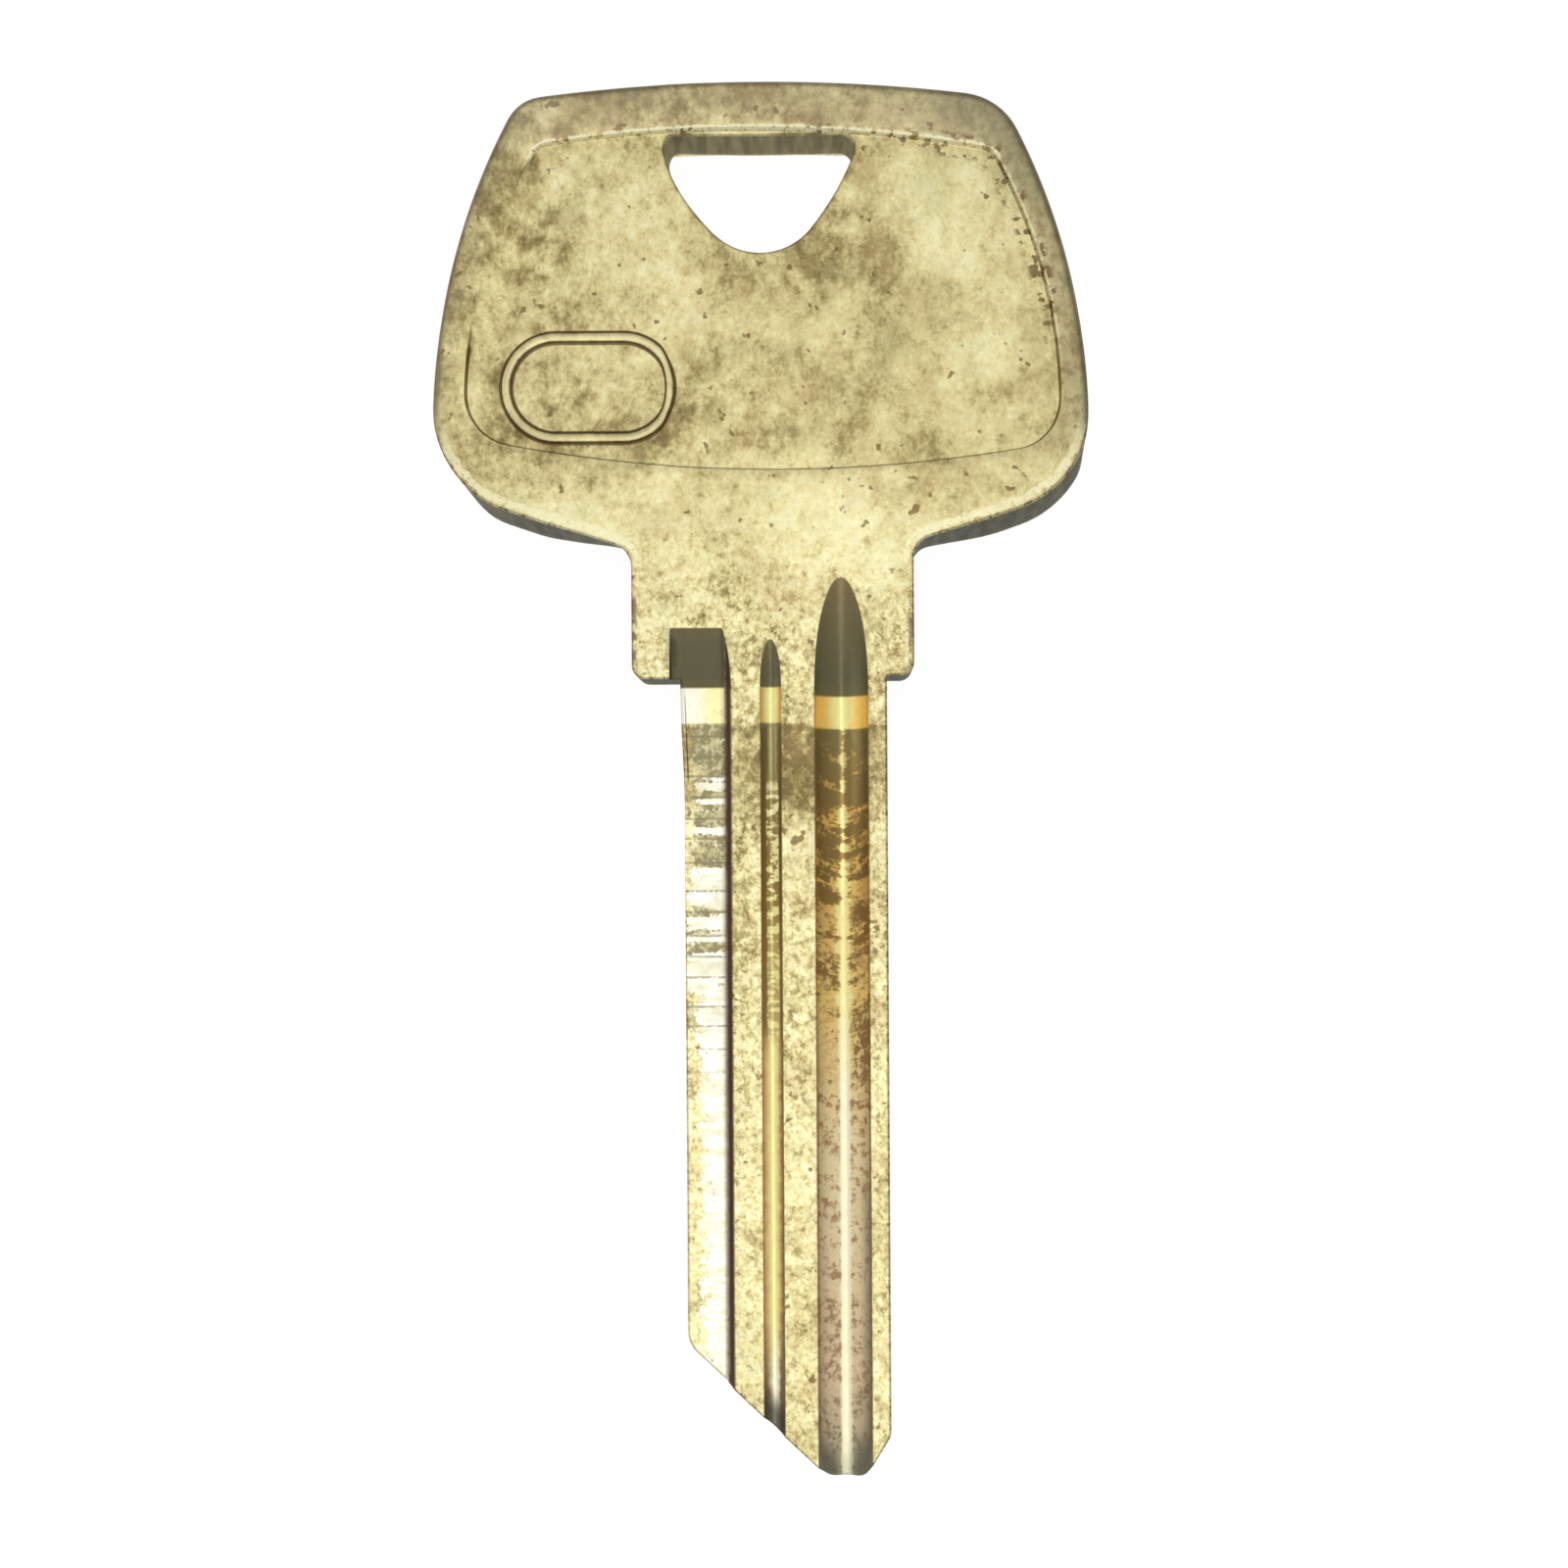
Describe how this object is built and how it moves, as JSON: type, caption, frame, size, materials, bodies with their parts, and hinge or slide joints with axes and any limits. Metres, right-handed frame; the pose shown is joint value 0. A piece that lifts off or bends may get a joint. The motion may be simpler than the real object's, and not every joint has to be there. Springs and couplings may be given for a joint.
{
  "type": "key blank",
  "caption": "Flat brass key blank: rounded trapezoid bow with coined panels and a ring slot, shouldered neck, and an uncut grooved blade with a bevelled tip.",
  "frame": {"origin": "on the blade's centre line, level with the shoulder that stops against the lock, at the back face", "axes": "+Y from the blade to the bow, +Z out of the front face, +X to the right as the front face is seen"},
  "size_m": [0.0273, 0.0585, 0.0021],
  "materials": {
    "brass": "tumbled satin, lightly tarnished and pitted"
  },
  "bodies": {
    "root": {"key_blank": "brass"}
  },
  "joints": []
}
